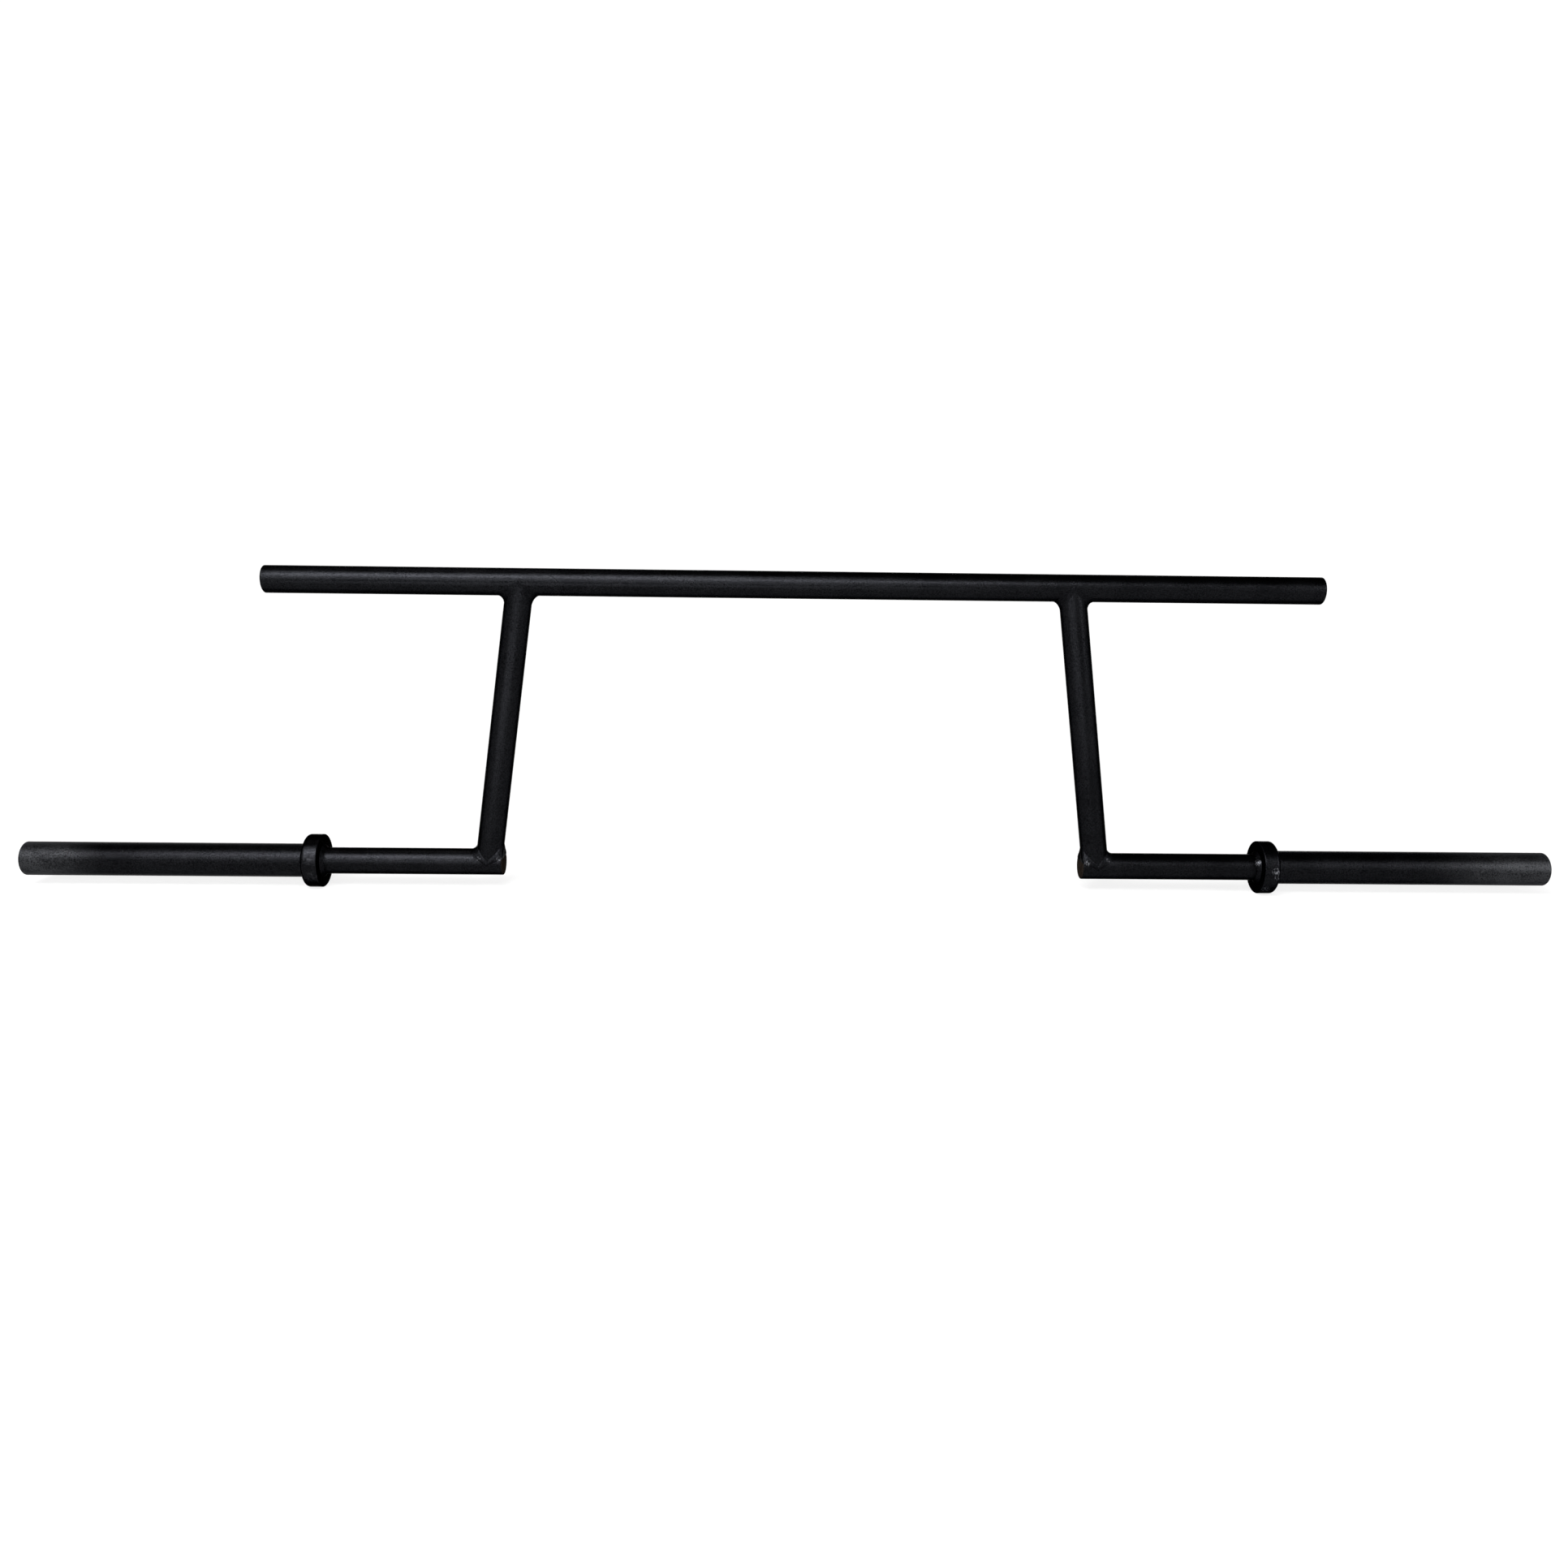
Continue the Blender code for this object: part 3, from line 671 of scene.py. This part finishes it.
def paint(name, pale, roughness, grain, peel, peel_scale=PEEL_SCALE, edge=EDGE_TINT, scuff_sheen_span=None, chip_and_glint_places=None):
    """Satin black paint over steel: a fine grain, a broader orange peel, and uneven colour and gloss.

    It reflects little at every angle, so it is a dark metallic coat with a dark edge tint. grain and peel are
    strengths of bump. scuff_sheen_span is the start and end in X of the scuffed length with its painted
    sheen, and chip_and_glint_places lists small places of chipped paint and painted glints.
    """
    material, tree, shader = start_material(name)
    patches = noise_node(tree, *PATCHES)
    mottle = noise_node(tree, *MOTTLE, offset=(5, 5, 1))
    specks = noise_node(tree, *SPECKS, offset=(3, 1, 2))
    share = ramp_node(tree, patches, PATCH_SPAN, 0, PATCH_SHARE)
    share = combine(tree, "ADD", share, ramp_node(tree, mottle, MOTTLE_SPAN, 0, MOTTLE_SHARE))
    share = combine(tree, "ADD", share, ramp_node(tree, specks, SPECK_SPAN, 0, SPECK_SHARE))
    colour = blend_colours(tree, share, BLACK, pale)
    gloss = ramp_node(tree, patches, GLOSS_SPAN, roughness - GLOSS_LESS, roughness + GLOSS_MORE)
    # Paler paint: scuffed paint with painted sheen on the sleeves, chipped paint with painted glints on the
    # collars, painted glints on the welds
    worn_or_lit_share = None
    if scuff_sheen_span is not None:
        worn_or_lit_share, worn_or_lit_colour = scuffs_and_sheen(tree, scuff_sheen_span), SCUFFED_AND_SHEEN
    if chip_and_glint_places is not None:
        worn_or_lit_share, worn_or_lit_colour = chip_and_glint_share(tree, chip_and_glint_places), RUBBED_AND_GLINT
    if worn_or_lit_share is not None:
        colour = blend_colours(tree, worn_or_lit_share, colour, worn_or_lit_colour)
        gloss = combine(tree, "ADD", gloss, ramp_node(tree, worn_or_lit_share, (0, 1), 0, WORN_OR_LIT_ROUGHNESS))
    tree.links.new(colour, shader.inputs["Base Color"])
    tree.links.new(gloss, shader.inputs["Roughness"])
    normal = bump_node(tree, noise_node(tree, peel_scale, *PEEL_DETAIL), PEEL_HEIGHT, peel)
    normal = bump_node(tree, specks, GRAIN_HEIGHT, grain, normal)
    tree.links.new(normal, shader.inputs["Normal"])
    shader.inputs["Metallic"].default_value = 1.0
    shader.inputs["Specular Tint"].default_value = (edge, edge, edge, 1)
    return material


def sawn_steel():
    """Dull brown-grey coat on the arms' sawn ends, patchy and speckled."""
    material, tree, shader = start_material("sawn_face")
    patches = noise_node(tree, *SAWN_PATCHES)
    specks = noise_node(tree, *SAWN_SPECKS)
    share = ramp_node(tree, patches, SAWN_PATCH_SPAN, 0, SAWN_PATCH_SHARE)
    share = combine(tree, "ADD", share, ramp_node(tree, specks, SAWN_SPECK_SPAN, 0, SAWN_SPECK_SHARE))
    colour = blend_colours(tree, share, SAWN_DARK, SAWN_BROWN)
    tree.links.new(colour, shader.inputs["Base Color"])
    normal = bump_node(tree, patches, SAWN_HEIGHT, SAWN_PATCH_BUMP)
    normal = bump_node(tree, specks, GRAIN_HEIGHT, SAWN_SPECK_BUMP, normal)
    tree.links.new(normal, shader.inputs["Normal"])
    shader.inputs["Roughness"].default_value = SAWN_ROUGHNESS
    shader.inputs["Specular IOR Level"].default_value = 0.0
    return material


shaft_paint = paint("shaft_paint", BLACK_PALE, roughness=0.28, grain=0.7, peel=0.03, edge=0.35)
# The sleeves' outer ends carry scuffed paint and a painted sheen
sleeve_paint = {
    "right": paint("right_sleeve_paint", BLACK_PALE, roughness=0.28, grain=1.0, peel=0.05, edge=0.45,
                   scuff_sheen_span=(0.90, 1.11)),
    "left": paint("left_sleeve_paint", BLACK_PALE, roughness=0.29, grain=0.8, peel=0.04, edge=0.5,
                  scuff_sheen_span=(-0.97, -1.10)),
}
# Chipped paint and painted glints on the collars
collar_paint = {
    "right": paint("right_collar_paint", BLACK_PALE, roughness=0.28, grain=0.9, peel=0.08,
                   peel_scale=FINE_PEEL_SCALE, chip_and_glint_places=CHIPPED_AND_GLINTS["right"]),
    "left": paint("left_collar_paint", LEFT_COLLAR_LIT_PALE, roughness=0.21, grain=0.7, peel=0.04,
                  peel_scale=FINE_PEEL_SCALE, chip_and_glint_places=CHIPPED_AND_GLINTS["left"]),
}
# Welds: darker paint as painted shade, with painted glints
weld_paint = {
    side: paint(side + "_weld_paint", WELD_SHADED_PALE, roughness=0.36, grain=0.8, peel=0.10,
                peel_scale=FINE_PEEL_SCALE, chip_and_glint_places=WELD_GLINTS[side]) for side in ("right", "left")
}
sawn_face = sawn_steel()

# Pieces
add_top_bar([shaft_paint])
for side in ("right", "left"):
    add_plug(side, [shaft_paint])
    add_strut(side, [shaft_paint])
    add_arm(side, [shaft_paint, sawn_face])
    add_collar(side, [collar_paint[side]])
    add_sleeve(side, [sleeve_paint[side]])
    add_ring_welds(side, [weld_paint[side]])
    add_end_weld(side, [weld_paint[side]])
    add_strut_welds(side, [weld_paint[side]])


# Stage, in metres
STAGE_RADIUS = 5.0
STAGE_CURVE = 1.2
STAGE_HEIGHT = 4.8
STAGE_SIDES = 96
STAGE_CURVE_STEPS = 12
STAGE_WHITE = 0.20          # colour of the diffuse surface
STAGE_GLOW_NEAR = 0.81      # strength of the light added to it, near the object and far from it
STAGE_GLOW_FAR = 0.98
STAGE_GLOW_SPAN = (0.8, 4.0)


def stage_material():
    """White floor and backdrop: a diffuse surface that takes the shadow, topped up to white.

    What is added is seen directly, in reflections and through glass, and gives no diffuse surface any light.
    """
    material = bpy.data.materials.new("stage_white")
    material.use_nodes = True
    tree = material.node_tree
    tree.nodes.clear()
    output = add_node(tree, "ShaderNodeOutputMaterial")
    diffuse = add_node(tree, "ShaderNodeBsdfDiffuse")
    diffuse.inputs["Color"].default_value = (STAGE_WHITE, STAGE_WHITE, STAGE_WHITE, 1)
    glow = add_node(tree, "ShaderNodeEmission")
    path = add_node(tree, "ShaderNodeLightPath")
    seen = combine(tree, "MAXIMUM", path.outputs["Is Camera Ray"], path.outputs["Is Glossy Ray"])
    seen = combine(tree, "MAXIMUM", seen, path.outputs["Is Transmission Ray"])
    place = add_node(tree, "ShaderNodeTexCoord")
    reach = add_node(tree, "ShaderNodeVectorMath", operation="LENGTH")
    tree.links.new(place.outputs["Object"], reach.inputs[0])
    top_up = ramp_node(tree, reach.outputs["Value"], STAGE_GLOW_SPAN, STAGE_GLOW_NEAR, STAGE_GLOW_FAR)
    tree.links.new(combine(tree, "MULTIPLY", seen, top_up), glow.inputs["Strength"])
    total = add_node(tree, "ShaderNodeAddShader")
    tree.links.new(diffuse.outputs[0], total.inputs[0])
    tree.links.new(glow.outputs[0], total.inputs[1])
    tree.links.new(total.outputs[0], output.inputs["Surface"])
    return material


def add_stage():
    """A round floor that curves up into a wall all round."""
    outline = [(STAGE_RADIUS - STAGE_CURVE, 0)]
    for step in range(1, STAGE_CURVE_STEPS + 1):
        angle = math.pi / 2 * step / STAGE_CURVE_STEPS
        outline.append((STAGE_RADIUS - STAGE_CURVE + STAGE_CURVE * math.sin(angle),
                        STAGE_CURVE * (1 - math.cos(angle))))
    outline.append((STAGE_RADIUS, STAGE_HEIGHT))
    bm = bmesh.new()
    centre = bm.verts.new((0, 0, FLOOR_Z))
    grid = []
    for step in range(STAGE_SIDES):
        angle = 2 * math.pi * step / STAGE_SIDES
        grid.append([bm.verts.new((r * math.cos(angle), r * math.sin(angle), FLOOR_Z + z))
                     for r, z in outline])
    for this, following in zip(grid, grid[1:] + grid[:1]):
        bm.faces.new((centre, this[0], following[0]))
        for i in range(len(this) - 1):
            bm.faces.new((this[i], this[i + 1], following[i + 1], following[i]))
    mesh = bpy.data.meshes.new("floor")
    bm.to_mesh(mesh)
    bm.free()
    mesh.shade_smooth()
    floor = link(bpy.data.objects.new("floor", mesh))
    mesh.materials.append(stage_material())


# Lights
LIGHT_TARGET = Vector((0, 0, -0.2))
LIGHT_LEVEL = 0.85          # share of the radiances below that the lamps have
LIGHT_DISTANCE = 3.2
WORLD_LEVEL = 0.06


def add_light(name, azimuth, elevation, width, height, radiance, distance=LIGHT_DISTANCE, tint=(1, 1, 1)):
    """Rectangular soft light aimed at the object. Angles in degrees, azimuth from the front to the right."""
    azimuth, elevation = math.radians(azimuth), math.radians(elevation)
    away = Vector((math.sin(azimuth) * math.cos(elevation), -math.cos(azimuth) * math.cos(elevation),
                   math.sin(elevation)))
    data = bpy.data.lights.new(name, "AREA")
    data.shape = "RECTANGLE"
    data.size = width
    data.size_y = height
    data.color = tint
    data.energy = LIGHT_LEVEL * radiance * math.pi * width * height
    lamp = link(bpy.data.objects.new(name, data))
    lamp.location = LIGHT_TARGET + distance * away
    lamp.rotation_euler = (-away).to_track_quat("-Z", "Y").to_euler()
    lamp.visible_camera = False


add_stage()

# Azimuth, elevation, width, height and radiance of each lamp
add_light("key", -14, 42, 3.2, 0.8, 18)
add_light("high_left", -43, 49.5, 1.2, 1.05, 10.5)
add_light("high_front", -13.5, 58, 0.5, 1.1, 20)
add_light("low_front", -10, 18, 2.4, 0.31, 14)
add_light("left_strip", -37.6, 26.5, 0.3, 1.25, 21)
add_light("low_strip", -15, -4, 1.5, 0.13, 8, distance=1.25)
add_light("right_side", 55, 18, 1.0, 1.5, 6.3)
add_light("back", 178, 33, 2.8, 0.6, 6, distance=3.4)
add_light("rim", -126, 66, 1.25, 0.85, 2.4, distance=3.0, tint=(1.0, 0.95, 0.90))

world = bpy.data.worlds.new("dim_room")
world.use_nodes = True
world.node_tree.nodes["Background"].inputs["Color"].default_value = (1, 1, 1, 1)
world.node_tree.nodes["Background"].inputs["Strength"].default_value = WORLD_LEVEL
bpy.context.scene.world = world

# Camera at the photograph's viewing angle: pixels, metres, radians, and the sensor in millimetres
PICTURE = 1932
FOCAL_PIXELS = 1539.8
CAMERA_PLACE = Vector((-0.0489, -1.7573, 0.0658))
YAW, PITCH, ROLL = 0.0193, -0.1954, 0.0123
SENSOR_WIDTH = 36

camera_data = bpy.data.cameras.new("camera")
camera_data.sensor_width = SENSOR_WIDTH
camera_data.lens = SENSOR_WIDTH * FOCAL_PIXELS / PICTURE
camera = link(bpy.data.objects.new("camera", camera_data))
forward = Vector((math.sin(YAW) * math.cos(PITCH), math.cos(YAW) * math.cos(PITCH), math.sin(PITCH)))
level_right = Vector((math.cos(YAW), -math.sin(YAW), 0))
level_up = level_right.cross(forward)
right = math.cos(ROLL) * level_right + math.sin(ROLL) * level_up
up = -math.sin(ROLL) * level_right + math.cos(ROLL) * level_up
turn = Matrix((right, up, -forward)).transposed().to_4x4()
camera.matrix_world = Matrix.Translation(CAMERA_PLACE) @ turn
bpy.context.scene.camera = camera
bpy.context.scene.view_settings.view_transform = "Standard"
